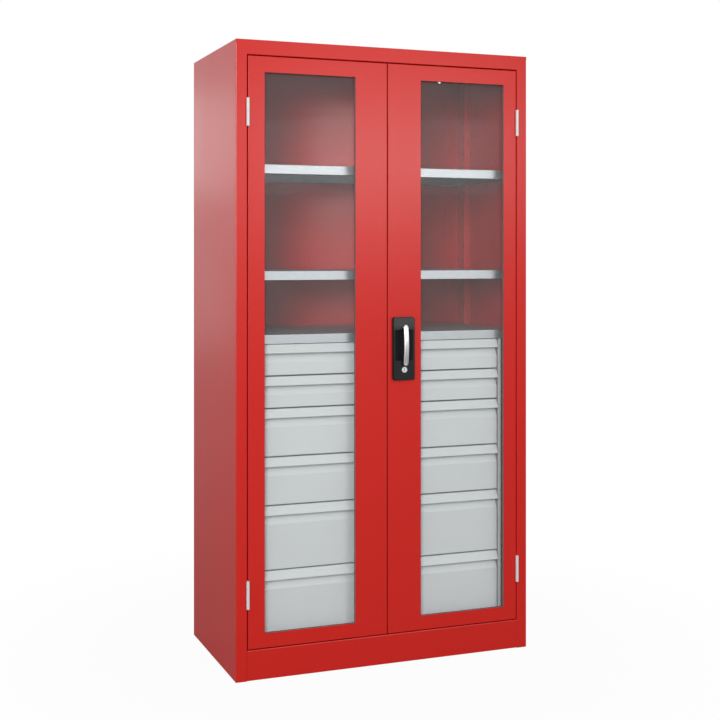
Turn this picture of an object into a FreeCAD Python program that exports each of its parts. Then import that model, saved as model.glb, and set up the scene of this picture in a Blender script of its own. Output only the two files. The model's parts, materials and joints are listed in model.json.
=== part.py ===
import FreeCAD
import Part

import math
import os

from FreeCAD import Vector

# Steel cupboard with two glazed doors, three shelves and six drawers, in millimetres.
# Each piece is drawn with X to the right of the middle, Y back from the front face of the doors
# and Z up from the underside of the sheet body.  write() then moves it to the cupboard's own
# frame, whose origin is on the floor under the middle of the cupboard's box.

# Body of folded sheet
body_width = 1000.0
body_depth = 500.0
body_height = 1950.0
body_sheet = 1.2
fold_radius = 1.5
edge_round = 2.0
cut_overrun = 5.0
touch_gap = 0.3

# Front frame: stiles at the sides, a rail under the roof and a plinth at the foot
stile_width = 35.5
stop_lip = 10.0
rear_flange = 38.0
roof_edge = 12.0
roof_lip = 15.0
rail_height = 46.0
rail_return = 8.0
hem_depth = 4.0
plinth_height = 92.5
plinth_set_back = 1.0
plinth_return = 10.0
floor_rise = 7.5
floor_edge = 38.0
floor_lip = 15.0

# Corner plates, and the glides that the cupboard stands on
glide_height = 3.0
glide_radius = 9.5
glide_inset = 13.0
glide_set_back = 20.0
plate_thickness = 3.0
front_plate_depth = 60.0

# Holes in the back for fixing to a wall
wall_hole_radius = 6.0
wall_hole_inset = 73.0
wall_hole_drop = 20.0

# Slotted uprights, shelves and the clips under them
upright_width = 30.0
upright_reach = 20.0
upright_sheet = 1.5
front_upright_place = 95.0
rear_upright_inset = 100.0
slot_width = 20.0
slot_height = 6.0
slot_pitch = 110.0
slot_end_margin = 12.0
shelf_height = 28.0
shelf_sheet = 1.2
shelf_lip = 15.0
shelf_gap = 1.8
shelf_back_gap = 20.0
shelf_front = 40.0
lower_shelf_front = 35.0
middle_shelf_rise = 197.0
top_shelf_steps = 3
clip_sheet = 2.0
clip_play = 2.0
clip_bearing = 14.0
clip_tail = 4.0
clip_hook = 8.0

# Drawers, from the top down, with the folded grip along each front
drawer_pitches = (100.0, 100.0, 150.0, 150.0, 200.0, 200.0)
drawer_block_rise = 20.0
drawer_gap = 4.4
drawer_end_gap = 10.0
drawer_sheet = 1.2
drawer_face = 37.0
grip_top = 40.0
grip_nose = 26.0
grip_height = 27.0
grip_throat = 50.0
throat_drop = 2.0
grip_slope = 27.0
throat_clearance = 7.0
tray_back_gap = 43.0
tray_side_gap = 25.0
tray_top_drop = 14.0
tray_lip = 6.0
tray_ledge = 18.0

# Frame and runners of the drawer block
frame_inset = 80.0
frame_sheet = 1.5
frame_front = 45.0
frame_back_gap = 45.0
frame_front_flange = 9.0
frame_back_flange = 25.0
runner_height = 36.0
runner_depth = 16.0
runner_lip = 5.0
runner_sheet = 1.5
runner_inset = 5.0
runner_rise = 34.0
neck_clearance = 0.5

# Doors
door_gap = 3.0
door_thickness = 17.0
door_lip = 14.0
window_bottom_margin = 45.0
window_top_margin = 48.5
left_window_margins = (53.0, 108.0)
right_window_margins = (114.5, 46.5)
glazing_width = 14.0
glazing_depth = 10.0
pane_thickness = 3.0
pane_overlap = 10.0
retainer_set_back = 2.0

# Lift-off hinges: the lower half and its pin on the frame, the upper half on the door
hinge_length = 85.0
lower_hinge_rise = 124.5
upper_hinge_drop = 214.5
hinge_radius = 5.0
hinge_sink = 0.5
hinge_seam = 0.4
hinge_cap = 4.0
leaf_sheet = 1.2
leaf_depth = 14.0
pin_radius = 3.0
running_clearance = 0.1
pin_end_gap = 1.0

# Rubber buffers that the doors close on
buffer_radius = 4.0
buffer_height = 3.0
lower_buffer_rise = 304.5
upper_buffer_drop = 351.0

# Dished handle plate on the right door
plate_left = 16.0
plate_width = 73.0
plate_bottom = 898.0
plate_height = 199.5
plate_proud = 13.0
plate_corner = 6.0
plate_edge = 1.8
dish_rise = 62.0
dish_drop = 40.5
dish_depth = 10.5
dish_rim = 4.0

# Bowed lever, its spindle, and the cam that moves the two rods
lever_pivot_drop = 31.5
lever_foot_rise = 53.0
lever_width = 16.5
lever_thickness = 10.0
lever_gap = 9.0
lever_bow = 7.0
lever_edge = 2.4
boss_radius = 7.0
spindle_radius = 5.0
sheet_hole_clearance = 1.0
cam_radius = 14.5
cam_gap = 0.5
cam_thickness = 2.8
cam_crank = 10.0
cam_start_angle = -45.0
crank_pin_radius = 2.5
crank_pin_overlap = 2.0

# Rods inside the right door, with a yoke on each that the cam's pin moves in
rod_radius = 4.0
rod_offset = 9.0
rod_gap = 0.5
yoke_width = 13.0
yoke_inset = 1.5
yoke_thickness = 3.0
yoke_margin = 4.0
yoke_tail = 12.0
pin_slot_clearance = 0.45
rod_chamfer = 1.5
guide_width = 18.0
guide_height = 14.0
guide_end_inset = 45.0
guide_case_gap = 18.0
guide_wall = 1.5

# Lock case behind the plate, and the key cylinder
case_half_width = 30.0
case_margin = 3.0
case_sheet = 1.5
case_back = 14.5
barrel_radius = 9.0
barrel_rise = 33.0
barrel_proud = 1.5
barrel_end = 3.5
core_radius = 6.0
core_proud = 0.3
key_slot_width = 2.0
key_slot_height = 8.0
key_slot_depth = 9.0
tongue_thickness = 2.0
tongue_width = 9.0
tongue_length = 16.0

# Places that several pieces share
half_width = body_width / 2
half_sheet = body_sheet / 2
roof_bottom = body_height - roof_edge
rail_bottom = body_height - rail_height
rail_half = half_width - stile_width
inner_half = half_width - body_sheet
bend_inside = fold_radius - half_sheet
inner_back = body_depth - 2 * body_sheet - bend_inside
stop_depth = door_thickness + buffer_height
floor_top = plinth_height + floor_rise
wall_hole_x = half_width - wall_hole_inset
wall_hole_height = body_height - wall_hole_drop

upright_face = inner_half - upright_reach
upright_places = (front_upright_place, body_depth - rear_upright_inset)
shelf_half = upright_face - shelf_gap
shelf_back = body_depth - shelf_back_gap
lower_shelf_bottom = floor_top + drawer_block_rise + sum(drawer_pitches)
lower_shelf = lower_shelf_bottom + shelf_height
middle_shelf = lower_shelf + middle_shelf_rise
top_shelf = middle_shelf + top_shelf_steps * slot_pitch
clip_width = slot_width - clip_play

frame_half_width = half_width - frame_inset
frame_back = body_depth - frame_back_gap
runner_front = frame_front + runner_inset
runner_back = frame_back - runner_inset
drawer_half_width = frame_half_width - drawer_end_gap
tray_front = grip_throat + throat_clearance
tray_back = body_depth - tray_back_gap
tray_half_width = frame_half_width - tray_side_gap

door_bottom = plinth_height + door_gap
door_top = rail_bottom - door_gap
glazing_back = body_sheet + glazing_depth
pane_back = glazing_back + pane_thickness
hinge_axis_x = rail_half - door_gap / 2
hinge_reach = hinge_radius - hinge_sink
hinge_heights = (door_bottom + lower_hinge_rise, door_top - upper_hinge_drop)
buffer_heights = (door_bottom + lower_buffer_rise, door_top - upper_buffer_drop)

plate_top = plate_bottom + plate_height
dish_bottom = plate_bottom + dish_rise
dish_top = plate_top - dish_drop
lever_x = plate_left + plate_width / 2
lever_pivot_height = plate_top - lever_pivot_drop
lever_foot_height = plate_bottom + lever_foot_rise
lever_stand_off = plate_proud + lever_gap
lever_reach = lever_stand_off + lever_bow + lever_thickness / 2
barrel_height = plate_bottom + barrel_rise
case_bottom = plate_bottom + case_margin
case_top = plate_top - case_margin
cam_front = body_sheet + case_sheet + cam_gap
cam_back = cam_front + cam_thickness
rod_centre_depth = cam_back + rod_gap + rod_radius
yoke_front = rod_centre_depth - rod_radius + yoke_inset
yoke_back = yoke_front + yoke_thickness
guide_back = rod_centre_depth + rod_radius + guide_wall
front_y = (lever_reach - body_depth) / 2


def write(name, shape):
    """Move a piece to the cupboard's own frame and write it as parts/name.step."""
    placed = shape.copy()
    placed.translate(Vector(0, front_y, glide_height))
    placed.exportStep(f"parts/{name}.step")


def block(across, back, up):
    """Box from three pairs of limits."""
    low = Vector(across[0], back[0], up[0])
    size = Vector(across[1], back[1], up[1]) - low
    return Part.makeBox(size.x, size.y, size.z, low)


def bar(radius, x, z, start, end):
    """Round bar from front to back at a place on the door."""
    return Part.makeCylinder(radius, end - start, Vector(x, start, z), Vector(0, 1, 0))


def post(radius, x, y, bottom, top):
    """Upright round bar."""
    return Part.makeCylinder(radius, top - bottom, Vector(x, y, bottom))


def mirrored(shape, side):
    """A piece drawn for the right stays for side 1, and is mirrored to the left for side -1."""
    return shape if side > 0 else shape.mirror(Vector(0, 0, 0), Vector(1, 0, 0))


def sheet_face(corners, axis, shift, radius):
    """Points along one face of a folded sheet, shifted sideways from the sheet's middle line.

    Each bend is drawn as two flats, so that the many folds stay light.
    """
    legs = [(end - start).normalize() for start, end in zip(corners, corners[1:])]
    across = [axis.cross(leg) for leg in legs]
    points = [corners[0] + across[0] * shift]
    for number, corner in enumerate(corners[1:-1]):
        leg, next_leg = legs[number], legs[number + 1]
        normal, next_normal = across[number], across[number + 1]
        turn = math.atan2(leg.cross(next_leg).dot(axis), leg.dot(next_leg))
        bend = math.copysign(radius, turn)
        set_back = radius * math.tan(abs(turn) / 2)
        centre = corner - leg * set_back + normal * bend
        points.append(corner - leg * set_back + normal * shift)
        points.append(centre - (normal + next_normal).normalize() * (bend - shift))
        points.append(corner + next_leg * set_back + next_normal * shift)
    points.append(corners[-1] + across[-1] * shift)
    return points


def folded(corners, run, sheet):
    """Sheet folded along the corners of its middle line, and run out along a vector."""
    axis = Vector(run).normalize()
    radius = fold_radius + (sheet - body_sheet) / 2
    outer = sheet_face(corners, axis, sheet / 2, radius)
    inner = sheet_face(corners, axis, -sheet / 2, radius)
    outline = Part.makePolygon(outer + inner[::-1] + outer[:1])
    return Part.Face(outline).extrude(run)


def on_plane(edge, axis_name, place):
    """Whether an edge lies wholly at one place along X, Y or Z."""
    box = edge.BoundBox
    spans = {"x": (box.XMin, box.XMax), "y": (box.YMin, box.YMax), "z": (box.ZMin, box.ZMax)}
    low, high = spans[axis_name]
    return max(abs(low - place), abs(high - place)) < touch_gap


def pan(across, back, up, mouth, sheet, lip, rounding):
    """Tray of folded sheet, open towards its mouth, with a lip turned in round the mouth.

    mouth is "back", "down" or "up".  The edges round the closed face opposite are rounded,
    unless the rounding is 0.
    """
    outer = block(across, back, up)
    closed = {"back": ("y", back[0]), "down": ("z", up[1]), "up": ("z", up[0])}[mouth]
    if rounding:
        rounded = [edge for edge in outer.Edges if on_plane(edge, *closed)]
        outer = outer.makeFillet(rounding, rounded)
    inside = [(low + sheet, high - sheet) for low, high in (across, back, up)]
    opening = [(low + lip, high - lip) for low, high in inside]
    if mouth == "back":
        opening[1] = (inside[1][0], back[1] + cut_overrun)
    elif mouth == "down":
        opening[2] = (up[0] - cut_overrun, inside[2][1])
    else:
        opening[2] = (inside[2][0], up[1] + cut_overrun)
    return outer.cut(block(*inside)).cut(block(*opening))


def ring(inner, outer, back):
    """Rectangular frame between two (across, up) openings."""
    hole_back = (back[0] - cut_overrun, back[1] + cut_overrun)
    return block(outer[0], back, outer[1]).cut(block(inner[0], hole_back, inner[1]))


def grown(opening, margin):
    """An (across, up) opening made larger all round."""
    return [(low - margin, high + margin) for low, high in opening]


# Body


def side_panel(side):
    """Side wall with its front stile, the stop behind the stile and a rear flange."""
    stile_line = rail_half + half_sheet
    stop_line = stop_depth + half_sheet
    side_line = half_width - half_sheet
    back_line = body_depth - body_sheet - half_sheet
    corners = [
        Vector(rail_half - stop_lip, stop_line, 0),
        Vector(stile_line, stop_line, 0),
        Vector(stile_line, half_sheet, 0),
        Vector(side_line, half_sheet, 0),
        Vector(side_line, back_line, 0),
        Vector(half_width - rear_flange, back_line, 0),
    ]
    return mirrored(folded(corners, Vector(0, 0, roof_bottom), body_sheet), side)


def back_panel():
    """Back wall on the rear flanges, with two holes for wall bolts."""
    front = body_depth - body_sheet
    panel = block((-half_width, half_width), (front, body_depth), (0, roof_bottom))
    through = (front - cut_overrun, body_depth + cut_overrun)
    for side in (-1, 1):
        panel = panel.cut(bar(wall_hole_radius, side * wall_hole_x, wall_hole_height, *through))
    return panel


def roof_panel():
    """Roof folded down all round, sitting on the walls like a lid."""
    across = (-half_width, half_width)
    up = (roof_bottom, body_height)
    return pan(across, (0, body_depth), up, "down", body_sheet, roof_lip, edge_round)


def top_rail():
    """Rail over the doors, hemmed at the bottom so that the upper rod can catch behind it."""
    corners = [
        Vector(-rail_half, rail_return, roof_bottom - half_sheet),
        Vector(-rail_half, half_sheet, roof_bottom - half_sheet),
        Vector(-rail_half, half_sheet, rail_bottom + half_sheet),
        Vector(-rail_half, hem_depth, rail_bottom + half_sheet),
    ]
    return folded(corners, Vector(2 * rail_half, 0, 0), body_sheet)


def plinth_panel():
    """Plinth between the stiles, hemmed at the top for the lower rod."""
    face = plinth_set_back + half_sheet
    corners = [
        Vector(-rail_half, plinth_return, half_sheet),
        Vector(-rail_half, face, half_sheet),
        Vector(-rail_half, face, plinth_height - half_sheet),
        Vector(-rail_half, plinth_set_back + hem_depth, plinth_height - half_sheet),
    ]
    return folded(corners, Vector(2 * rail_half, 0, 0), body_sheet)


def floor_panel():
    """Bottom of the cupboard, folded down all round."""
    back = (stop_depth + body_sheet, inner_back)
    up = (floor_top - floor_edge, floor_top)
    return pan((-inner_half, inner_half), back, up, "down", body_sheet, floor_lip, edge_round)


def corner_plates():
    """Plates in the four bottom corners, which the glides are fixed to."""
    plates = []
    up = (0, plate_thickness)
    front_back = (body_sheet + bend_inside, front_plate_depth)
    rear_back = (inner_back - front_plate_depth, inner_back)
    for side in (-1, 1):
        front_across = sorted((side * (rail_half + body_sheet), side * inner_half))
        rear_across = sorted((side * (half_width - rear_flange), side * inner_half))
        plates.append(block(front_across, front_back, up))
        plates.append(block(rear_across, rear_back, up))
    return Part.Compound(plates)


def glides():
    """Four round glides under the corner plates."""
    feet = []
    for side in (-1, 1):
        for y in (glide_set_back, body_depth - glide_set_back):
            feet.append(post(glide_radius, side * (half_width - glide_inset), y, -glide_height, 0))
    return Part.Compound(feet)


# Uprights and shelves


def slot_floors():
    """Heights of the lower edges of an upright's slots: two of them carry shelf clips."""
    clip_floor = top_shelf - shelf_height - clip_sheet
    lowest = floor_top + slot_end_margin
    highest = roof_bottom - slot_end_margin - slot_height
    below = math.floor((clip_floor - lowest) / slot_pitch)
    above = math.floor((highest - clip_floor) / slot_pitch)
    return [clip_floor + step * slot_pitch for step in range(-below, above + 1)]


def upright(front):
    """One slotted upright of the right side wall."""
    half = upright_sheet / 2
    corners = [
        Vector(inner_half, front + half, floor_top),
        Vector(upright_face + half, front + half, floor_top),
        Vector(upright_face + half, front + upright_width - half, floor_top),
        Vector(inner_half, front + upright_width - half, floor_top),
    ]
    profile = folded(corners, Vector(0, 0, roof_bottom - floor_top), upright_sheet)
    middle = front + upright_width / 2
    across = (upright_face - cut_overrun, upright_face + cut_overrun)
    back = (middle - slot_width / 2, middle + slot_width / 2)
    slots = [block(across, back, (floor, floor + slot_height)) for floor in slot_floors()]
    return profile.cut(Part.Compound(slots))


def uprights(side):
    """Front and rear upright of one side wall."""
    return Part.Compound([mirrored(upright(front), side) for front in upright_places])


def shelf(top, front):
    """Shelf of galvanised sheet, folded down all round with a return underneath."""
    across = (-shelf_half, shelf_half)
    up = (top - shelf_height, top)
    return pan(across, (front, shelf_back), up, "down", shelf_sheet, shelf_lip, edge_round)


def shelf_clips():
    """Clips hooked through the uprights' slots, one under each corner of two shelves."""
    clips = []
    tail = upright_face + upright_sheet + clip_tail
    for top in (top_shelf, middle_shelf):
        level = top - shelf_height - clip_sheet / 2
        for front in upright_places:
            y = front + (upright_width - clip_width) / 2
            corners = [
                Vector(shelf_half - clip_bearing, y, level),
                Vector(tail, y, level),
                Vector(tail, y, level - clip_hook),
            ]
            clip = folded(corners, Vector(0, clip_width, 0), clip_sheet)
            clips += [mirrored(clip, side) for side in (-1, 1)]
    return Part.Compound(clips)


# Drawers


def drawer_tops():
    """Upper and lower edge of each drawer front, from the top down."""
    spans = []
    line = lower_shelf_bottom
    for pitch in drawer_pitches:
        spans.append((line - drawer_gap / 2, line - pitch + drawer_gap / 2))
        line -= pitch
    return spans


def drawer_frame(side):
    """Side of the drawer block, standing on the floor and carrying the lower shelf."""
    line = frame_half_width + frame_sheet / 2
    front = frame_front + frame_sheet / 2
    back = frame_back - frame_sheet / 2
    corners = [
        Vector(frame_half_width + frame_front_flange, front, floor_top),
        Vector(line, front, floor_top),
        Vector(line, back, floor_top),
        Vector(frame_half_width + frame_back_flange, back, floor_top),
    ]
    run = Vector(0, 0, lower_shelf_bottom - floor_top)
    return mirrored(folded(corners, run, frame_sheet), side)


def runner_middle(bottom):
    """Height of a drawer's runner above the lower edge of its front."""
    return bottom + runner_rise


def runner_channels(side):
    """The fixed channels of one side, on the inner face of the drawer frame."""
    mouth = frame_half_width - runner_depth
    web = frame_half_width - runner_sheet
    back = (runner_front, runner_back)
    through = (runner_front - cut_overrun, runner_back + cut_overrun)
    channels = []
    for top, bottom in drawer_tops():
        low = runner_middle(bottom) - runner_height / 2
        high = low + runner_height
        channel = block((mouth, frame_half_width), back, (low, high))
        inside = (low + runner_sheet, high - runner_sheet)
        channel = channel.cut(block((mouth + runner_sheet, web), through, inside))
        slot = (low + runner_lip, high - runner_lip)
        channel = channel.cut(block((mouth - cut_overrun, web), through, slot))
        channels.append(mirrored(channel, side))
    return Part.Compound(channels)


def drawer_front(top, bottom):
    """Front of one sheet: a sloping grip, a throat for the fingers, and the face below it."""
    left = -drawer_half_width
    half = drawer_sheet / 2
    nose = top - grip_height
    throat = nose - throat_drop
    corners = [
        Vector(left, tray_front, top - half),
        Vector(left, grip_top + half, top - half),
        Vector(left, grip_nose + half, nose),
        Vector(left, grip_throat, throat),
        Vector(left, drawer_face + half, throat - grip_slope),
        Vector(left, drawer_face + half, bottom + half),
        Vector(left, tray_front + tray_ledge, bottom + half),
    ]
    return folded(corners, Vector(2 * drawer_half_width, 0, 0), drawer_sheet)


def drawer_tray(top, bottom):
    """Open tray that sits on the ledge of its front."""
    across = (-tray_half_width, tray_half_width)
    back = (tray_front, tray_back)
    up = (bottom + drawer_sheet, top - tray_top_drop)
    return pan(across, back, up, "up", drawer_sheet, tray_lip, 0)


def drawer_rails(bottom):
    """The two rails on a drawer's sides: each head runs inside its channel."""
    middle = runner_middle(bottom)
    head_start = frame_half_width - runner_depth + runner_sheet + touch_gap
    head_end = frame_half_width - runner_sheet - touch_gap
    head_half = runner_height / 2 - runner_sheet - touch_gap
    neck_half = runner_height / 2 - runner_lip - neck_clearance
    back = (tray_front, runner_back)
    neck = block((tray_half_width, head_end), back, (middle - neck_half, middle + neck_half))
    head = block((head_start, head_end), back, (middle - head_half, middle + head_half))
    rail = neck.fuse(head).removeSplitter()
    return Part.Compound([mirrored(rail, side) for side in (-1, 1)])


# Doors


def door_span(side):
    """Left and right edge of a door."""
    return tuple(sorted((side * door_gap / 2, side * (rail_half - door_gap))))


def window(side):
    """(across, up) of a door's window."""
    left, right = door_span(side)
    left_margin, right_margin = left_window_margins if side < 0 else right_window_margins
    across = (left + left_margin, right - right_margin)
    return [across, (door_bottom + window_bottom_margin, door_top - window_top_margin)]


def door_panel(side):
    """Door of folded sheet with a window, open at the back behind its returns."""
    up = (door_bottom, door_top)
    panel = pan(door_span(side), (0, door_thickness), up, "back", body_sheet, door_lip, edge_round)
    across, height = window(side)
    panel = panel.cut(block(across, (-cut_overrun, body_sheet + cut_overrun), height))
    if side > 0:
        through = (-cut_overrun, body_sheet + cut_overrun)
        spindle_hole = spindle_radius + sheet_hole_clearance
        panel = panel.cut(bar(spindle_hole, lever_x, lever_pivot_height, *through))
        panel = panel.cut(bar(barrel_radius, lever_x, barrel_height, *through))
        for x, end in ((lever_x + rod_offset, door_top), (lever_x - rod_offset, door_bottom)):
            up = (end - cut_overrun, end + cut_overrun)
            panel = panel.cut(post(rod_radius + touch_gap, x, rod_centre_depth, *up))
    return panel


def glazing_frame(side):
    """Dark profile round the window that the pane is bedded on."""
    opening = window(side)
    return ring(opening, grown(opening, glazing_width), (body_sheet, glazing_back))


def pane(side):
    """Clear acrylic pane behind the glazing frame."""
    across, up = grown(window(side), pane_overlap)
    return block(across, (glazing_back, pane_back), up)


def pane_retainer(side):
    """Sheet frame that holds the pane from behind."""
    opening = window(side)
    outer = grown(opening, glazing_width)
    return ring(grown(opening, retainer_set_back), outer, (pane_back, pane_back + body_sheet))


def hinge_frame_halves():
    """Lower half of each hinge with its pin, on the return of the stile."""
    halves = []
    for bottom in hinge_heights:
        seam = bottom + hinge_length / 2 - hinge_seam / 2
        pin_top = bottom + hinge_length - hinge_cap - pin_end_gap
        knuckle = post(hinge_radius, hinge_axis_x, -hinge_reach, bottom, seam)
        pin = post(pin_radius, hinge_axis_x, -hinge_reach, bottom, pin_top)
        leaf = block((rail_half - leaf_sheet, rail_half), (-hinge_reach, leaf_depth), (bottom, seam))
        half = knuckle.fuse([pin, leaf]).removeSplitter()
        halves += [mirrored(half, side) for side in (-1, 1)]
    return Part.Compound(halves)


def hinge_door_halves(side):
    """Upper half of a door's hinges, which lifts off the pin."""
    door_edge = rail_half - door_gap
    bore_radius = pin_radius + running_clearance
    halves = []
    for bottom in hinge_heights:
        seam = bottom + hinge_length / 2 + hinge_seam / 2
        top = bottom + hinge_length
        knuckle = post(hinge_radius, hinge_axis_x, -hinge_reach, seam, top)
        leaf = block((door_edge, door_edge + leaf_sheet), (-hinge_reach, leaf_depth), (seam, top))
        bore = post(bore_radius, hinge_axis_x, -hinge_reach, seam - cut_overrun, top - hinge_cap)
        halves.append(mirrored(knuckle.fuse(leaf).cut(bore), side))
    return Part.Compound(halves)


def door_buffers():
    """Rubber buffers on the stops behind the stiles."""
    buffers = []
    x = rail_half - (stop_lip + fold_radius) / 2
    for z in buffer_heights:
        pad = bar(buffer_radius, x, z, door_thickness + touch_gap, stop_depth)
        buffers += [mirrored(pad, side) for side in (-1, 1)]
    return Part.Compound(buffers)


# Handle and lock


def handle_plate():
    """Moulded plate with a dish behind the lever for the fingers."""
    across = (plate_left, plate_left + plate_width)
    up = (plate_bottom, plate_top)
    plate = block(across, (-plate_proud, 0), up)
    corners = [edge for edge in plate.Edges if edge.BoundBox.YLength > plate_proud / 2]
    plate = plate.makeFillet(plate_corner, corners)
    front_edges = [edge for edge in plate.Edges if on_plane(edge, "y", -plate_proud)]
    plate = plate.makeChamfer(plate_edge, front_edges)
    dish_half = plate_width / 2 - dish_rim
    dish_radius = (dish_half ** 2 + dish_depth ** 2) / (2 * dish_depth)
    dish_centre = dish_depth - plate_proud - dish_radius
    plate = plate.cut(post(dish_radius, lever_x, dish_centre, dish_bottom, dish_top))
    through = (-plate_proud - cut_overrun, cut_overrun)
    plate = plate.cut(bar(spindle_radius + running_clearance, lever_x, lever_pivot_height, *through))
    return plate.cut(bar(barrel_radius, lever_x, barrel_height, *through))


def lever():
    """Bowed lever, cut to its round-ended front view and chamfered all round."""
    end_round = lever_width / 2
    low = lever_foot_height - end_round
    high = lever_pivot_height + end_round
    middle = (low + high) / 2
    left = lever_x - lever_width / 2
    back = -lever_stand_off + lever_thickness / 2
    front = -lever_stand_off - lever_thickness / 2
    back_high, back_low = Vector(left, back, high), Vector(left, back, low)
    front_high, front_low = Vector(left, front, high), Vector(left, front, low)
    back_arc = Part.Arc(back_high, Vector(left, back - lever_bow, middle), back_low)
    front_arc = Part.Arc(front_low, Vector(left, front - lever_bow, middle), front_high)
    bottom_end = Part.LineSegment(back_low, front_low)
    top_end = Part.LineSegment(front_high, back_high)
    outline = Part.Wire([part.toShape() for part in (back_arc, bottom_end, front_arc, top_end)])
    bow = Part.Face(outline).extrude(Vector(lever_width, 0, 0))
    start = -lever_reach - cut_overrun
    front_view = block((left, left + lever_width), (start, 0), (low + end_round, high - end_round))
    for z in (low + end_round, high - end_round):
        front_view = front_view.fuse(bar(end_round, lever_x, z, start, 0))
    bow = bow.common(front_view.removeSplitter())
    rims = [edge for edge in bow.Edges if edge.BoundBox.YLength < lever_thickness - touch_gap]
    bow = bow.makeChamfer(lever_edge, rims)
    boss = bar(boss_radius, lever_x, lever_pivot_height, -lever_stand_off, -plate_proud - touch_gap)
    return bow.fuse(boss).removeSplitter()


def spindle():
    """Bar that turns with the lever and carries the cam inside the door."""
    start = -plate_proud - touch_gap
    return bar(spindle_radius, lever_x, lever_pivot_height, start, cam_back)


def crank_pin_places():
    """(x, z) of the cam's two pins: the first lifts the upper rod, the second lowers the other."""
    places = []
    for turn in (cam_start_angle, cam_start_angle + math.degrees(math.pi)):
        angle = math.radians(turn)
        x = lever_x + cam_crank * math.cos(angle)
        z = lever_pivot_height + cam_crank * math.sin(angle)
        places.append((x, z))
    return places


def rod_cam():
    """Disc on the spindle with two pins for the rods."""
    disc = bar(cam_radius, lever_x, lever_pivot_height, cam_front, cam_back)
    for x, z in crank_pin_places():
        disc = disc.fuse(bar(crank_pin_radius, x, z, cam_front, yoke_back + crank_pin_overlap))
    bore = (cam_front - cut_overrun, cam_back + cut_overrun)
    return disc.removeSplitter().cut(bar(spindle_radius, lever_x, lever_pivot_height, *bore))


def rod(way):
    """Rod from the cam to the door's top (way 1) or bottom (way -1), with a slotted yoke."""
    centre = lever_x + way * rod_offset
    pin_x, pin_z = crank_pin_places()[0 if way > 0 else 1]
    slot_half = crank_pin_radius + pin_slot_clearance
    slot_near = abs(pin_x - lever_x) - slot_half
    slot_far = cam_crank + slot_half
    slot_across = sorted((lever_x + way * slot_near, lever_x + way * slot_far))
    yoke_across = (centre - yoke_width / 2, centre + yoke_width / 2)
    yoke_end = pin_z - way * (slot_half + yoke_margin)
    yoke_root = pin_z + way * (slot_half + yoke_tail)
    yoke = block(yoke_across, (yoke_front, yoke_back), sorted((yoke_end, yoke_root)))
    slot_back = (yoke_front - cut_overrun, yoke_back + cut_overrun)
    yoke = yoke.cut(block(slot_across, slot_back, (pin_z - slot_half, pin_z + slot_half)))
    tip = door_top if way > 0 else door_bottom
    shank_start = pin_z + way * (slot_half + yoke_margin)
    shank = post(rod_radius, centre, rod_centre_depth, *sorted((shank_start, tip)))
    rim = [edge for edge in shank.Edges if on_plane(edge, "z", tip)]
    return shank.makeChamfer(rod_chamfer, rim).fuse(yoke).removeSplitter()


def rod_guides():
    """Guides behind the door's sheet that the two rods slide in."""
    guides = []
    for way, end, case_end in ((1, door_top, case_top), (-1, door_bottom, case_bottom)):
        x = lever_x + way * rod_offset
        across = (x - guide_width / 2, x + guide_width / 2)
        near_case = case_end + way * (guide_case_gap + guide_height / 2)
        for z in (end - way * guide_end_inset, near_case):
            up = (z - guide_height / 2, z + guide_height / 2)
            guide = block(across, (body_sheet, guide_back), up)
            bore = (up[0] - cut_overrun, up[1] + cut_overrun)
            guides.append(guide.cut(post(rod_radius + running_clearance, x, rod_centre_depth, *bore)))
    return Part.Compound(guides)


def lock_case():
    """Channel behind the door's sheet that backs the plate and steadies the spindle."""
    half = case_sheet / 2
    side_line = case_half_width - half
    corners = [
        Vector(lever_x - side_line, case_back, case_bottom),
        Vector(lever_x - side_line, body_sheet + half, case_bottom),
        Vector(lever_x + side_line, body_sheet + half, case_bottom),
        Vector(lever_x + side_line, case_back, case_bottom),
    ]
    case = folded(corners, Vector(0, 0, case_top - case_bottom), case_sheet)
    through = (body_sheet - cut_overrun, body_sheet + cut_overrun)
    case = case.cut(bar(spindle_radius + running_clearance, lever_x, lever_pivot_height, *through))
    return case.cut(bar(barrel_radius, lever_x, barrel_height, *through))


def lock_barrel():
    """Fixed barrel of the key cylinder."""
    start = -plate_proud - barrel_proud
    barrel = bar(barrel_radius, lever_x, barrel_height, start, barrel_end)
    through = (start - cut_overrun, barrel_end + cut_overrun)
    return barrel.cut(bar(core_radius + running_clearance, lever_x, barrel_height, *through))


def lock_core():
    """Core that the key turns, with the locking tongue on its inner end."""
    start = -plate_proud - barrel_proud - core_proud
    end = barrel_end + touch_gap
    core = bar(core_radius, lever_x, barrel_height, start, end)
    slot_across = (lever_x - key_slot_width / 2, lever_x + key_slot_width / 2)
    slot_up = (barrel_height - key_slot_height / 2, barrel_height + key_slot_height / 2)
    core = core.cut(block(slot_across, (start - cut_overrun, start + key_slot_depth), slot_up))
    tongue_across = (lever_x - tongue_width / 2, lever_x + tongue_width / 2)
    tongue_up = (barrel_height - tongue_length, barrel_height + core_radius)
    tongue = block(tongue_across, (end, end + tongue_thickness), tongue_up)
    return core.fuse(tongue).removeSplitter()


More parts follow.
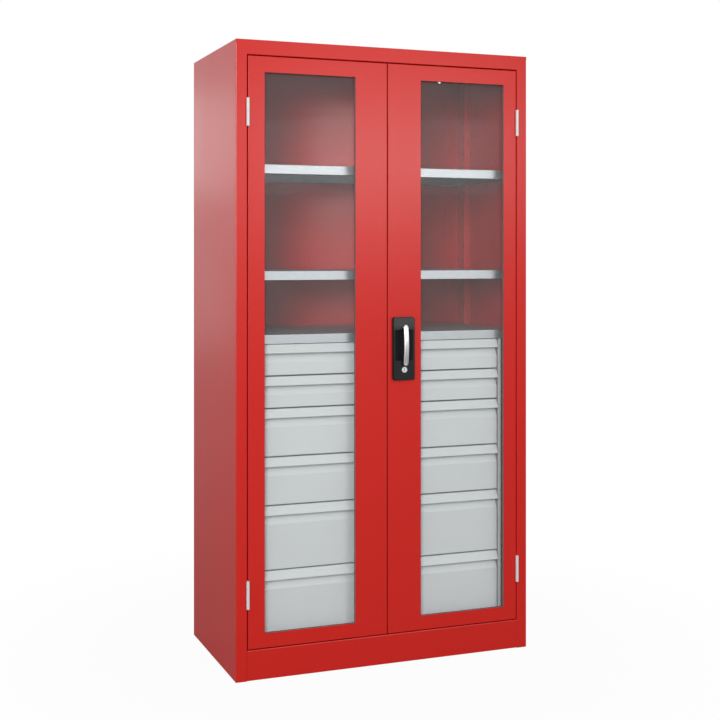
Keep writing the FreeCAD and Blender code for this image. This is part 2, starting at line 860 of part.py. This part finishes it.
def main():
    os.makedirs("parts", exist_ok=True)
    for side, word in ((-1, "left"), (1, "right")):
        write(f"side_panel_{word}", side_panel(side))
        write(f"uprights_{word}", uprights(side))
        write(f"drawer_frame_{word}", drawer_frame(side))
        write(f"runner_channels_{word}", runner_channels(side))
        write(f"{word}_door_panel", door_panel(side))
        write(f"{word}_door_glazing_frame", glazing_frame(side))
        write(f"{word}_door_pane", pane(side))
        write(f"{word}_door_pane_retainer", pane_retainer(side))
        write(f"{word}_door_hinge_halves", hinge_door_halves(side))
    write("back_panel", back_panel())
    write("roof_panel", roof_panel())
    write("top_rail", top_rail())
    write("plinth_panel", plinth_panel())
    write("floor_panel", floor_panel())
    write("corner_plates", corner_plates())
    write("glides", glides())
    write("shelf_top", shelf(top_shelf, shelf_front))
    write("shelf_middle", shelf(middle_shelf, shelf_front))
    write("shelf_lower", shelf(lower_shelf, lower_shelf_front))
    write("shelf_clips", shelf_clips())
    write("hinge_frame_halves", hinge_frame_halves())
    write("door_buffers", door_buffers())
    for number, (top, bottom) in enumerate(drawer_tops(), 1):
        write(f"drawer_{number}_front", drawer_front(top, bottom))
        write(f"drawer_{number}_tray", drawer_tray(top, bottom))
        write(f"drawer_{number}_rails", drawer_rails(bottom))
    write("handle_plate", handle_plate())
    write("lever", lever())
    write("spindle", spindle())
    write("rod_cam", rod_cam())
    write("upper_rod", rod(1))
    write("lower_rod", rod(-1))
    write("rod_guides", rod_guides())
    write("lock_case", lock_case())
    write("lock_barrel", lock_barrel())
    write("lock_core", lock_core())


main()
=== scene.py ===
# %% [markdown]
# # A steel cupboard with glazed doors
# The cupboard comes from CAD as solids in one frame: x to the right, y to the back and z up, with the origin on
# the floor.  Nothing of that is moved here.  This notebook gives the solids their finishes, adds the few small
# pieces that are easier to shape as meshes, and sets up floor, light and camera.

import json
import math

import bmesh
import bpy
from mathutils import Matrix, Vector


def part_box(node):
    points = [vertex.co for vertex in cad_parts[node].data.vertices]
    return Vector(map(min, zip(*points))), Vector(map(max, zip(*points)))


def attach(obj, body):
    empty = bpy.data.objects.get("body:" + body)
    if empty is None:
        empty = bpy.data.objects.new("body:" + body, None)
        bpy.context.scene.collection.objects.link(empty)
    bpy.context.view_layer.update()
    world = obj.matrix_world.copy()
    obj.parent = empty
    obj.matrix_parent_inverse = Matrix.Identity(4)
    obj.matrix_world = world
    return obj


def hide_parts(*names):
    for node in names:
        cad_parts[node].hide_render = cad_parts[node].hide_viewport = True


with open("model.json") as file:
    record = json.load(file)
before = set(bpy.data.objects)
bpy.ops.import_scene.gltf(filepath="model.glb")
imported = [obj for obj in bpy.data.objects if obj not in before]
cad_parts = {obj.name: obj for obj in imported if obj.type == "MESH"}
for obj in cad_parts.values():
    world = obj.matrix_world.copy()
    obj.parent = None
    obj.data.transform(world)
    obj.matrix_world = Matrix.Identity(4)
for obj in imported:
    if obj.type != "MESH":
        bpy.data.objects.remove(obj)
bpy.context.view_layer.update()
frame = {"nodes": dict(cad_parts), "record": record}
nodes = frame["nodes"]

# %% [markdown]
# ## Sums with sockets
# A finish is a small calculation: a base colour plus a little noise, a roughness that wanders.  Written with nodes
# that takes many lines, so a socket is wrapped in a class that knows how to add, subtract and multiply.  Then a
# finish reads like a sum.  Every node that isn't a sum is made by one method, which sets the node's options first
# and then its sockets, and the nodes that come up again and again get a short name on top of it.

# %% Socket class and finish class


class Socket:
    """Output of a node that can stand in a sum."""

    def __init__(self, finish, output):
        self.finish = finish
        self.output = output

    def sum_with(self, operation, first, second):
        return self.finish.node("ShaderNodeMath", {"operation": operation}, {0: first, 1: second})

    def __add__(self, other):
        return self.sum_with("ADD", self, other)

    def __radd__(self, other):
        return self.sum_with("ADD", other, self)

    def __sub__(self, other):
        return self.sum_with("SUBTRACT", self, other)

    def __rsub__(self, other):
        return self.sum_with("SUBTRACT", other, self)

    def __mul__(self, other):
        return self.sum_with("MULTIPLY", self, other)

    def __rmul__(self, other):
        return self.sum_with("MULTIPLY", other, self)


class Finish:
    """Node tree of a material or of the world."""

    def __init__(self, owner):
        self.owner = owner
        owner.use_nodes = True
        self.tree = owner.node_tree
        self.tree.nodes.clear()

    def node(self, kind, options=None, sockets=None, output=0):
        """Adds a node, sets its options and then its sockets, and returns one of its outputs."""
        made = self.tree.nodes.new(kind)
        for name, value in (options or {}).items():
            setattr(made, name, value)
        for name, value in (sockets or {}).items():
            if isinstance(value, Socket):
                self.tree.links.new(value.output, made.inputs[name])
            else:
                made.inputs[name].default_value = value
        return Socket(self, made.outputs[output])

    def place(self):
        """Where a point is on the cupboard, in metres."""
        return self.node("ShaderNodeTexCoord", output="Object")

    def noise(self, scale, detail, stretch=(1.0, 1.0, 1.0)):
        """Soft random values round 0.5, stretched along an axis if asked."""
        point = self.node("ShaderNodeVectorMath", {"operation": "MULTIPLY"}, {0: self.place(), 1: stretch})
        return self.node("ShaderNodeTexNoise", None, {"Vector": point, "Scale": scale, "Detail": detail})

    def ramp(self, value, start, end, low=0.0, high=1.0, shape="LINEAR"):
        """Runs from low to high while a value runs from start to end, and stays level beyond."""
        return self.node("ShaderNodeMapRange", {"interpolation_type": shape}, {
            "Value": value, "From Min": start, "From Max": end, "To Min": low, "To Max": high,
        })

    def mix(self, share, first, second):
        """Colour between two colours."""
        sockets = {"Factor": share, 6: first, 7: second}
        return self.node("ShaderNodeMix", {"data_type": "RGBA"}, sockets, output=2)

    def bump(self, height, depth, strength):
        """Normal that follows a height, with the depth in metres."""
        return self.node("ShaderNodeBump", None, {"Height": height, "Distance": depth, "Strength": strength})

    def blend(self, share, first, second):
        """Shader between two shaders."""
        return self.node("ShaderNodeMixShader", None, {0: share, 1: first, 2: second})

    def ray(self, kind):
        """1 where a ray is of a kind, and 0 where it isn't."""
        return self.node("ShaderNodeLightPath", output=kind)

    def surface(self, shader):
        """Ends the tree with a shader, and returns the material or the world."""
        in_world = isinstance(self.owner, bpy.types.World)
        output = self.tree.nodes.new("ShaderNodeOutputWorld" if in_world else "ShaderNodeOutputMaterial")
        self.tree.links.new(shader.output, output.inputs["Surface"])
        return self.owner


def new_finish(name):
    return Finish(bpy.data.materials.new(name))


print("sums work on sockets now")

# %% [markdown]
# ## Powder coat
# Powder paint is blown on dry and melted in an oven.  It levels almost flat but not quite: a fine orange peel
# stays, and the gloss wanders a little from place to place.  The peel could be modelled, but it is far too fine for
# that, so a noise of a few millimetres bends the light instead.  A slow noise shifts colour and roughness by a few
# hundredths, which is enough to keep large panels from looking dead.

# %% Red and grey paint


def tint(red, green, blue):
    """Colour without transparency."""
    return (red, green, blue, 1.0)


noise_middle = 0.5


def powder_coat(name, dark, light, roughness, gloss):
    """Paint between two colours, with the gloss as its specular level."""
    finish = new_finish(name)
    slow = finish.noise(scale=2.6, detail=3.0)
    peel = finish.noise(scale=420.0, detail=2.0)
    fleck = finish.noise(scale=1500.0, detail=1.0)
    slow_stray, fleck_stray = 0.08, 0.04
    shader = finish.node("ShaderNodeBsdfPrincipled", None, {
        "Base Color": finish.mix(slow * 0.7 + fleck * 0.3, dark, light),
        "Roughness": roughness + (slow - noise_middle) * slow_stray + (fleck - noise_middle) * fleck_stray,
        "Specular IOR Level": gloss,
        "Normal": finish.bump(peel, depth=0.00006, strength=0.6),
    })
    return finish.surface(shader)


finishes = {
    "red_paint": powder_coat(
        "red powder coat", tint(0.470, 0.0104, 0.0066), tint(0.500, 0.0134, 0.0086), roughness=0.30, gloss=0.30),
    "grey_paint": powder_coat(
        "grey powder coat", tint(0.515, 0.530, 0.534), tint(0.550, 0.566, 0.570), roughness=0.42, gloss=0.40),
}
print(sorted(finishes))

# %% [markdown]
# ## Galvanised sheet
# Hot zinc freezes into flat crystals, the spangle.  Each crystal mirrors the room in a slightly different tone, so
# the cells of a random mosaic get their own brightness and their own roughness.  The rolls of the mill leave fine
# streaks along the sheet, for which a noise is stretched lengthwise.  A picture of zinc could be laid on instead,
# but a pattern that reads the place on the cupboard needs no unwrapping and has no seams.  The hinges and the lever
# are the same sum with other numbers.

# %% Galvanised sheet, plated steel and the lever's satin silver


def bare_metal(name, dark, light, roughness, spangle, streak, wander):
    """wander says how far roughness and bump stray, from 0 for an even piece to 1 for a blotchy one."""
    finish = new_finish(name)
    cell = finish.node("ShaderNodeTexVoronoi", {"voronoi_dimensions": "3D"}, {
        "Vector": finish.place(), "Scale": spangle,
    }, output="Color")
    tone = finish.node("ShaderNodeSeparateColor", None, {"Color": cell}, output="Red")
    rolled = finish.noise(scale=240.0, detail=3.0, stretch=streak)
    cloud = finish.noise(scale=6.0, detail=2.0)
    widest_stray, deepest_streak = 0.06, 0.00001
    shader = finish.node("ShaderNodeBsdfPrincipled", None, {
        "Base Color": finish.mix(tone * 0.6 + rolled * 0.4, dark, light),
        "Metallic": 1.0,
        "Roughness": roughness + (tone + rolled + cloud - 3 * noise_middle) * (widest_stray * wander),
        "Normal": finish.bump(rolled, depth=deepest_streak * wander, strength=0.3),
    })
    return finish.surface(shader)


finishes["galvanised_sheet"] = bare_metal(
    "galvanised sheet", tint(0.40, 0.42, 0.434), tint(0.432, 0.452, 0.466),
    roughness=0.455, spangle=55.0, streak=(0.06, 1.0, 1.0), wander=0.1)
finishes["plated_steel"] = bare_metal(
    "plated steel", tint(0.57, 0.575, 0.58), tint(0.64, 0.645, 0.65),
    roughness=0.80, spangle=160.0, streak=(1.0, 1.0, 0.15), wander=1.0)
finishes["satin_lever"] = bare_metal(
    "satin silver", tint(0.53, 0.535, 0.54), tint(0.56, 0.565, 0.57),
    roughness=0.34, spangle=420.0, streak=(1.0, 1.0, 0.10), wander=0.3)
print(sorted(finishes))

# %% [markdown]
# ## Plastic and rubber
# The handle plate is moulded with a fine grain, which scatters the light and hides scratches.  The glazing profile
# and the buffers are rubber: greyer, and duller still.  Both are a dark colour with a pebbled bump, at two grain
# sizes.  Shade is painted into the handle plate: a share of plastic that hardly mirrors is mixed in, growing
# inwards into the dish and downwards over the plate's lower part, so that both look darker, as painted shade.  The
# rubber gets the same painted shade at its own depths and heights.

# %% Black plastic and rubber


def dark_moulding(name, dark, light, roughness, grain, shade_depths, head):
    """shade_depths: the y where the painted shade begins and where it is full; head: the z where it begins and stops
    growing.
    """
    finish = new_finish(name)
    pebble = finish.node(
        "ShaderNodeTexVoronoi", {"feature": "SMOOTH_F1"}, {"Vector": finish.place(), "Scale": grain})
    wear = finish.noise(scale=35.0, detail=4.0)
    wear_stray = 0.16
    glossy_grain = finish.node("ShaderNodeBsdfPrincipled", None, {
        "Base Color": finish.mix(wear, dark, light),
        "Roughness": roughness + (wear - noise_middle) * wear_stray,
        "Normal": finish.bump(pebble, depth=0.00010, strength=0.7),
    })
    # Painted shade: a dull plastic that hardly mirrors, mixed in where the dish and the lower part should look
    # darker.
    shade_shader = finish.node("ShaderNodeBsdfPrincipled", None, {
        "Base Color": finish.mix(wear, dark, light), "Roughness": 0.9, "Specular IOR Level": 0.08,
    })
    y = finish.node("ShaderNodeSeparateXYZ", None, {0: finish.place()}, output="Y")
    z = finish.node("ShaderNodeSeparateXYZ", None, {0: finish.place()}, output="Z")
    # How much painted shade the lower part gets, and the ramps that grow it inwards and downwards.
    shade_below_head = 0.68
    shade_inwards = finish.ramp(y, *shade_depths)
    shade_downwards = finish.ramp(z, *head, high=shade_below_head)
    return finish.surface(finish.blend(shade_inwards + shade_downwards - shade_inwards * shade_downwards, glossy_grain, shade_shader))


# Painted shade darkens the plate's dish and lower part; the rubber takes the same mix with its own numbers.
finishes["black_plastic"] = dark_moulding(
    "grained black plastic", tint(0.007, 0.0075, 0.008), tint(0.013, 0.0135, 0.0145),
    roughness=0.36, grain=900.0, shade_depths=(-0.2455, -0.2440), head=(1.075, 1.055))
finishes["dark_rubber"] = dark_moulding(
    "dark rubber", tint(0.085, 0.09, 0.094), tint(0.12, 0.127, 0.132),
    roughness=0.62, grain=1400.0, shade_depths=(-0.240, -0.230), head=(1.9, 1.8))
print(sorted(finishes))

# %% [markdown]
# ## Acrylic pane
# A clear pane does three things: it lets most light through, it mirrors a little of the room, and the finest dust
# and scratches on it scatter a few hundredths as a pale veil.  A glass shader would bend the light too, which hardly
# shows on a flat pane and leaves the shelves behind it noisy.  So each of the three is one simple shader, and two Mix
# Shader nodes put them together.  The mirror part grows at flat angles, and one node works out by how much.

# %% Acrylic


def clear_pane(name, veil):
    """veil is the share of light that the dust scatters."""
    finish = new_finish(name)
    dust = finish.noise(scale=9.0, detail=4.0)
    thinnest_dust, dust_range = 0.8, 0.4
    through = finish.node("ShaderNodeBsdfTransparent", None, {"Color": tint(0.985, 0.99, 0.99)})
    haze = finish.node("ShaderNodeBsdfPrincipled", None, {
        "Base Color": tint(0.82, 0.845, 0.85), "Roughness": 0.6, "Specular IOR Level": 0.0,
    })
    mirror = finish.node("ShaderNodeBsdfPrincipled", None, {
        "Base Color": tint(0.95, 0.96, 0.96), "Metallic": 1.0, "Roughness": 0.04,
    })
    veiled = finish.blend(veil * (thinnest_dust + dust * dust_range), through, haze)
    grazing = finish.node("ShaderNodeFresnel", None, {"IOR": 1.06})
    return finish.surface(finish.blend(grazing, veiled, mirror))


finishes["clear_acrylic"] = clear_pane("clear acrylic", veil=0.038)
print(sorted(finishes))

# %% [markdown]
# ## Dress the solids
# The record lists which slot each solid belongs to, so one loop gives all of them their finish.

# %% Dress

for entry in frame["record"]["subparts"]:
    solid = nodes[entry["node"]]
    solid.data.materials.clear()
    solid.data.materials.append(finishes[entry["material_slot"]])

# %% [markdown]
# ## Lever
# The real lever is a die casting whose edges are all rounded, and the hand feels every one of them.  The CAD solid
# has plain chamfers, so a softer lever takes its place here.  A rough cage under a Subdivision Surface could give
# it too, but then width and bow come out only roughly.  Instead a block gets round ends by a wide bevel of its four
# corner edges, is sliced across so that it can bend, is bowed outwards, and then a small bevel runs round both rims.

# %% Helpers for meshes


def mesh_object(name, shape, material):
    """Turns a bmesh into an object with one material."""
    bmesh.ops.recalc_face_normals(shape, faces=shape.faces)
    mesh = bpy.data.meshes.new(name)
    shape.to_mesh(mesh)
    shape.free()
    mesh.materials.append(material)
    made = bpy.data.objects.new(name, mesh)
    bpy.context.collection.objects.link(made)
    return made


def bevel(shape, edges, offset, segments):
    bmesh.ops.bevel(
        shape, geom=edges, offset=offset, offset_type="OFFSET", segments=segments, profile=0.5,
        affect="EDGES", material=-1)


def sharp_edges(shape, degrees):
    """Edges where two faces meet at more than an angle."""
    return [edge for edge in shape.edges if edge.calc_face_angle(0.0) > math.radians(degrees)]


low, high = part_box("lever")
lever_width = high.x - low.x
lever_length = high.z - low.z
lever_middle = (low + high) / 2
print("lever", round(lever_width * 1000, 1), "mm wide and", round(lever_length * 1000, 1), "mm long")

# %% Lever

lever_thickness = 0.010
lever_bow = 0.007
end_rounding = lever_width * 0.49
rim_rounding = 0.0034
slices = 24
end_front = low.y + lever_bow
casting = bmesh.new()
size = Matrix.Diagonal((lever_width, lever_thickness, lever_length, 1.0))
centre = Matrix.Translation((lever_middle.x, end_front + lever_thickness / 2, lever_middle.z))
bmesh.ops.create_cube(casting, size=1.0, matrix=centre @ size)
corners = [edge for edge in casting.edges if abs(edge.verts[0].co.y - edge.verts[1].co.y) > lever_thickness / 2]
bevel(casting, corners, end_rounding, segments=10)
for number in range(1, slices):
    cut = (0.0, 0.0, low.z + lever_length * number / slices)
    everything = casting.verts[:] + casting.edges[:] + casting.faces[:]
    bmesh.ops.bisect_plane(casting, geom=everything, plane_co=cut, plane_no=(0.0, 0.0, 1.0))
for vertex in casting.verts:
    along = (vertex.co.z - lever_middle.z) / (lever_length / 2)
    vertex.co.y -= lever_bow * (1.0 - along * along)
casting.normal_update()
bevel(casting, sharp_edges(casting, degrees=60), rim_rounding, segments=5)
for face in casting.faces:
    face.smooth = True
print("bowed bar with", len(casting.faces), "faces")

# %% Boss behind the lever

boss_radius = 0.007
boss_back = nodes["spindle"].bound_box[0][1]
boss_depth = boss_back - end_front - lever_thickness / 2
boss_place = Matrix.Translation((lever_middle.x, boss_back - boss_depth / 2, high.z - lever_width / 2))
boss_turn = Matrix.Rotation(math.radians(90.0), 4, "X")
bmesh.ops.create_cone(
    casting, cap_ends=True, segments=40, radius1=boss_radius, radius2=boss_radius, depth=boss_depth,
    matrix=boss_place @ boss_turn)
lever = mesh_object("cast_lever", casting, finishes["satin_lever"])
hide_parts("lever")
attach(lever, "handle")
print("lever with", len(lever.data.polygons), "faces, boss", round(boss_depth * 1000, 1), "mm deep")

# %% [markdown]
# ## Welded front frame
# Stiles, rail and roof edge are folded sheets, so a small groove stays where two of their bends meet.  In the
# workshop the groove is filled with weld and ground flat before painting, and then no seam shows.  The sheets could
# be joined into one mesh and smoothed, but they are CAD solids and stay as they are, so a flat bar in each groove
# does the same.  The plinth isn't welded in like that, and its seam stays open.

# %% Weld beads


def weld_bead(shape, low, high):
    """A bar between two corners."""
    size = Matrix.Diagonal(Vector(high) - Vector(low)).to_4x4()
    middle = Matrix.Translation((Vector(low) + Vector(high)) / 2)
    bmesh.ops.create_cube(shape, size=1.0, matrix=middle @ size)


rail_low, rail_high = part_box("top_rail")
groove_width = 0.0027
groove_depth = 0.0016
bead_proud = 0.00005
bead_overlap = 0.0002
groove_front, groove_back = rail_low.y - bead_proud, rail_low.y + groove_depth
bead_top = rail_high.z + bead_overlap
beads = bmesh.new()
weld_bead(
    beads, (rail_low.x, groove_front, bead_top - groove_width), (rail_high.x, groove_back, bead_top))
for x in (rail_low.x - groove_width, rail_high.x):
    weld_bead(beads, (x, groove_front, rail_low.z), (x + groove_width, groove_back, bead_top))
welds = mesh_object("front_frame_welds", beads, finishes["red_paint"])
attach(welds, "carcass")
print("weld beads with", len(welds.data.polygons), "faces below z", round(bead_top, 4))

# %% [markdown]
# ## Screws
# Each pane is held by a frame of thin sheet, screwed on from inside the door, and the lock case is screwed on too.
# A pan head is a short cylinder with its front rim rounded over and a cross pressed in.  The cross could be cut out,
# but on a head of a few millimetres two flat bars let into its face read just as well.  All the heads of a door are
# one piece, because they move with it as one.

# %% Screw head


def pan_head(shape, place, radius, height):
    """One screw head on a sheet, facing the back of the cupboard."""
    turn = Matrix.Rotation(math.radians(-90.0), 4, "X")
    made = bmesh.ops.create_cone(
        shape, cap_ends=True, segments=24, radius1=radius, radius2=radius, depth=height,
        matrix=Matrix.Translation(Vector(place) + Vector((0.0, height / 2, 0.0))) @ turn)
    around = {edge for vertex in made["verts"] for edge in vertex.link_edges}
    near_face = place[1] + height * 0.9
    rim = [edge for edge in around if all(vertex.co.y > near_face for vertex in edge.verts)]
    bevel(shape, rim, height * 0.6, segments=4)
    cross_length, cross_width, cross_depth = radius * 1.1, radius * 0.24, height * 0.1
    seat = Matrix.Translation((place[0], place[1] + height * 0.99, place[2]))
    for wide, tall in ((cross_length, cross_width), (cross_width, cross_length)):
        bar = Matrix.Diagonal((wide, cross_depth, tall, 1.0))
        bmesh.ops.create_cube(shape, size=1.0, matrix=seat @ bar)


def spread(start, end, count):
    """Evenly spaced values, both ends included."""
    return [start + (end - start) * number / (count - 1) for number in range(count)]


print("four values from 0 to 3:", spread(0, 3, 4))

# %% Screws


def screw_places(node):
    """Places round a frame of sheet, at the middle of its rim."""
    low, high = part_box(node)
    rim_middle, side_start, end_start = 0.006, 0.06, 0.07
    across = (low.x + rim_middle, high.x - rim_middle)
    upright = (low.z + rim_middle, high.z - rim_middle)
    sides = [(x, high.y, z) for x in across for z in spread(low.z + side_start, high.z - side_start, 7)]
    ends = [(x, high.y, z) for z in upright for x in spread(low.x + end_start, high.x - end_start, 2)]
    return sides + ends


def case_places():
    """Places in the corners of the lock case, on the back of its sheet."""
    low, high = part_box("lock_case")
    sheet, inset, top_inset = 0.0015, 0.010, 0.007
    across = (low.x + inset, high.x - inset)
    upright = (low.z + inset, high.z - top_inset)
    return [(x, low.y + sheet, z) for x in across for z in upright]


for side in ("left", "right"):
    heads = bmesh.new()
    places = screw_places(f"{side}_door_pane_retainer")
    for place in places:
        pan_head(heads, place, radius=0.0032, height=0.0014)
    if side == "right":
        for place in case_places():
            pan_head(heads, place, radius=0.0035, height=0.0016)
    screws = mesh_object(f"{side}_door_screws", heads, finishes["plated_steel"])
    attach(screws, f"{side}_door")
    print(side, "door:", len(places), "retainer screws,", len(screws.data.polygons), "faces")

# %% [markdown]
# ## Floor
# The cupboard stands in a white studio.  A floor that is white by its colour alone would need so much light that the
# paint burns out.  So the floor is a plain grey that shades itself, and for the rays that look at it, it is mixed
# with white: almost all white near the cupboard, where a breath of shadow stays, and all white far away, where it
# meets the white behind.  The paint mirrors more of that white the farther away it lies.

# %% Floor


def floor_finish():
    finish = new_finish("studio floor")
    grain = finish.noise(scale=3.0, detail=3.0)
    pale = finish.node("ShaderNodeBsdfPrincipled", None, {
        "Base Color": finish.mix(grain, tint(0.30, 0.30, 0.30), tint(0.34, 0.34, 0.34)),
        "Roughness": 0.9,
        "Specular IOR Level": 0.1,
    })
    white = finish.node("ShaderNodeEmission", None, {"Color": tint(1.0, 1.0, 1.0), "Strength": 1.0})
    distance = finish.node(
        "ShaderNodeVectorMath", {"operation": "LENGTH"}, {0: finish.place()}, output="Value")
    far = finish.ramp(distance, start=0.5, end=1.8, low=0.965, high=1.0, shape="SMOOTHSTEP")
    mirrored = finish.ramp(distance, start=0.5, end=5.0, low=0.08, high=0.36)
    seen = finish.ray("Is Camera Ray") + finish.ray("Is Transmission Ray")
    seen = seen + finish.ray("Is Glossy Ray") * mirrored
    return finish.surface(finish.blend(seen * far, pale, white))


ground = bmesh.new()
bmesh.ops.create_circle(ground, cap_ends=True, segments=96, radius=14.0)
floor = mesh_object("studio_floor", ground, floor_finish())
print("floor of", len(floor.data.polygons), "faces")

# %% [markdown]
# ## Light
# Soft light comes from all around, from a world that the camera sees as plain white.  Lamps with a large face give
# the rest, as softboxes do in a studio.  A tall one at the front left is the main light and reaches through the
# windows to the back wall.  A wide one high in front keeps the shadows soft, and a low one lights the left side.  The
# last two are there for what they mirror: a bright band across the doors, and one on the left side.

# %% World


def studio_world():
    world = bpy.data.worlds.new("studio")
    bpy.context.scene.world = world
    finish = Finish(world)
    seen = finish.ray("Is Camera Ray") + finish.ray("Is Glossy Ray")
    seen = seen + finish.ray("Is Transmission Ray")
    sky = finish.node("ShaderNodeBackground", None, {"Color": tint(0.98, 0.99, 1.0), "Strength": 0.44})
    white = finish.node("ShaderNodeBackground", None, {"Color": tint(1.0, 1.0, 1.0), "Strength": 1.0})
    return finish.surface(finish.blend(seen, sky, white))


print("world", studio_world().name)

# %% Lamps


def softbox(name, place, aim, width, height, radiance):
    """Lamp with a flat face that looks at a point."""
    lamp = bpy.data.lights.new(name, "AREA")
    lamp.shape = "RECTANGLE"
    lamp.size = width
    lamp.size_y = height
    lamp.energy = math.pi * width * height * radiance
    made = bpy.data.objects.new(name, lamp)
    made.location = place
    made.rotation_euler = (Vector(aim) - Vector(place)).to_track_quat("-Z", "Y").to_euler()
    bpy.context.collection.objects.link(made)


softbox("key_lamp", (0.6, -4.2, 4.7), aim=(0.0, -0.2, 1.0), width=3.0, height=1.6, radiance=2.4)
softbox("front_fill", (-2.9, -5.3, 2.65), aim=(0.0, -0.2, 1.3), width=1.5, height=2.6, radiance=19.3)
softbox("side_fill", (-4.5, -1.0, 1.1), aim=(-0.5, 0.0, 0.8), width=2.0, height=1.6, radiance=3.4)
softbox("door_glow", (1.6, -4.1, 1.95), aim=(0.0, -0.2, 1.6), width=1.7, height=0.5, radiance=12.5)
softbox("side_glow", (-1.55, 3.6, 2.0), aim=(-0.5, 0.0, 1.6), width=1.2, height=0.6, radiance=1.0)
print([lamp.name for lamp in bpy.data.lights])

# %% [markdown]
# ## Camera
# All upright edges of the cupboard stay parallel in the picture.  A camera that tilts would make them run together,
# so this one looks out level, and its lens is shifted sideways and down to bring the cupboard into the frame.

# %% Camera

lens = bpy.data.cameras.new("camera")
lens.sensor_width = 36.0
lens.lens = 60.885
lens.shift_x = 0.0707
lens.shift_y = -0.1456
camera = bpy.data.objects.new("camera", lens)
camera.location = (-1.556, -3.768, 1.297)
level, turned_right = math.radians(90.0), math.radians(-20.07)
camera.rotation_euler = (level, 0.0, turned_right)
bpy.context.collection.objects.link(camera)
bpy.context.scene.camera = camera
bpy.context.scene.view_settings.view_transform = "Standard"
print("camera at", tuple(round(v, 3) for v in camera.location))

# %% [markdown]
# ## End

# %% Done


print("scene is set up")
